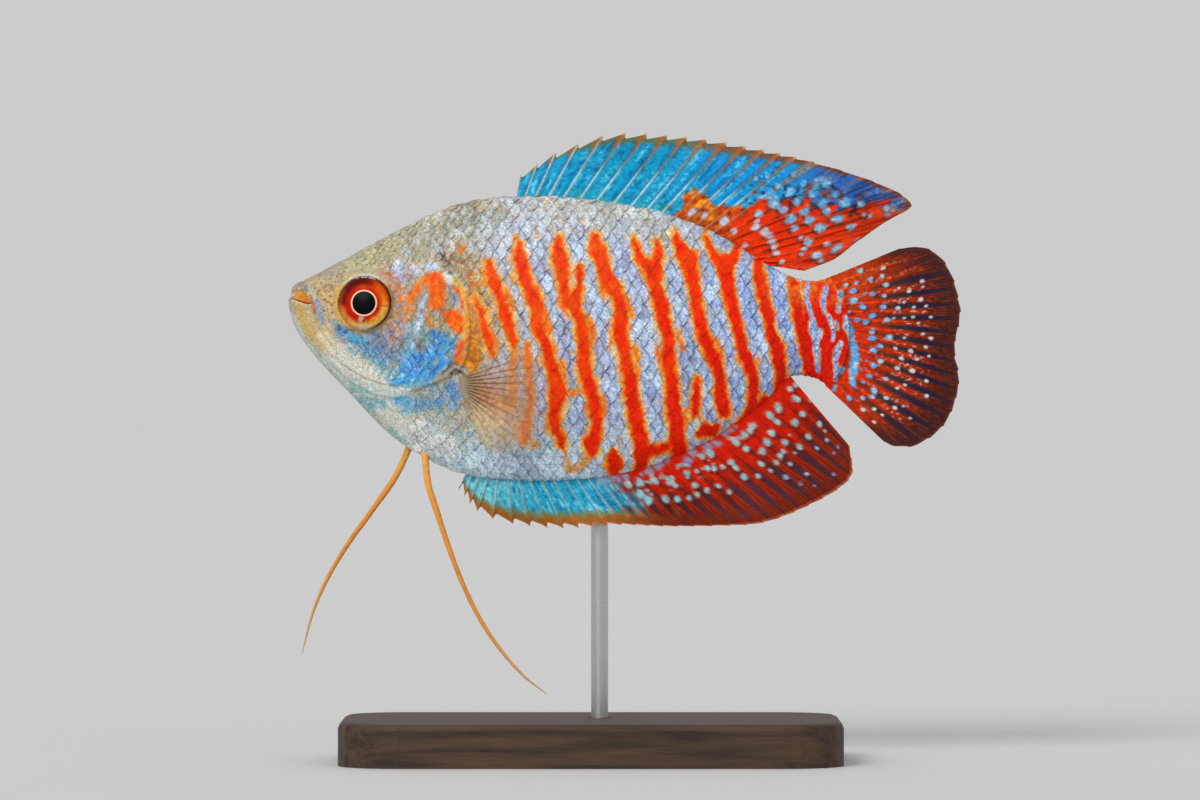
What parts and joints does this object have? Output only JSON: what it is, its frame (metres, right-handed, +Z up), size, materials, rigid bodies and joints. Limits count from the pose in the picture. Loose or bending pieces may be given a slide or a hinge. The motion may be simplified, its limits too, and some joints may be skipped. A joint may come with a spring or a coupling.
{
  "type": "dwarf gourami model",
  "caption": "Still life-size model of a dwarf gourami with red bars on blue scales, tall fins and thread-like pelvic feelers, held over a flat base by a rod.",
  "frame": {"origin": "centre of the bounding box at the underside of the stand's base", "axes": "+X from snout to tail, +Y towards the fish's right side, +Z up"},
  "size_m": [0.078, 0.032, 0.0729],
  "materials": {
    "scaled_skin": "pale blue-grey scaled skin with red-orange bars, satin",
    "head_skin": "olive-beige skin of the head, satin",
    "gill_skin": "blue gill cover with orange patches, satin",
    "eye": "red-orange iris with black pupil, wet gloss",
    "dorsal_membrane": "blue fin membrane with pale spines, satin",
    "red_membrane": "rust-red fin membrane with pale blue spots, satin",
    "clear_membrane": "nearly clear fin membrane with tan rays, satin",
    "feeler": "orange-yellow thread, satin",
    "base_wood": "dark satin wood",
    "rod_steel": "brushed"
  },
  "bodies": {
    "root": {"head": "head_skin", "lower_jaw": "head_skin", "gill_cover_left": "gill_skin", "gill_cover_right": "gill_skin", "trunk": "scaled_skin", "tail_stem": "scaled_skin", "eye_left": "eye", "eye_right": "eye", "dorsal_fin": "dorsal_membrane", "anal_fin": "red_membrane", "tail_fin": "red_membrane", "pectoral_fin_left": "clear_membrane", "pectoral_fin_right": "clear_membrane", "pelvic_feeler_left": "feeler", "pelvic_feeler_right": "feeler", "stand_base": "base_wood", "stand_rod": "rod_steel"}
  },
  "joints": []
}
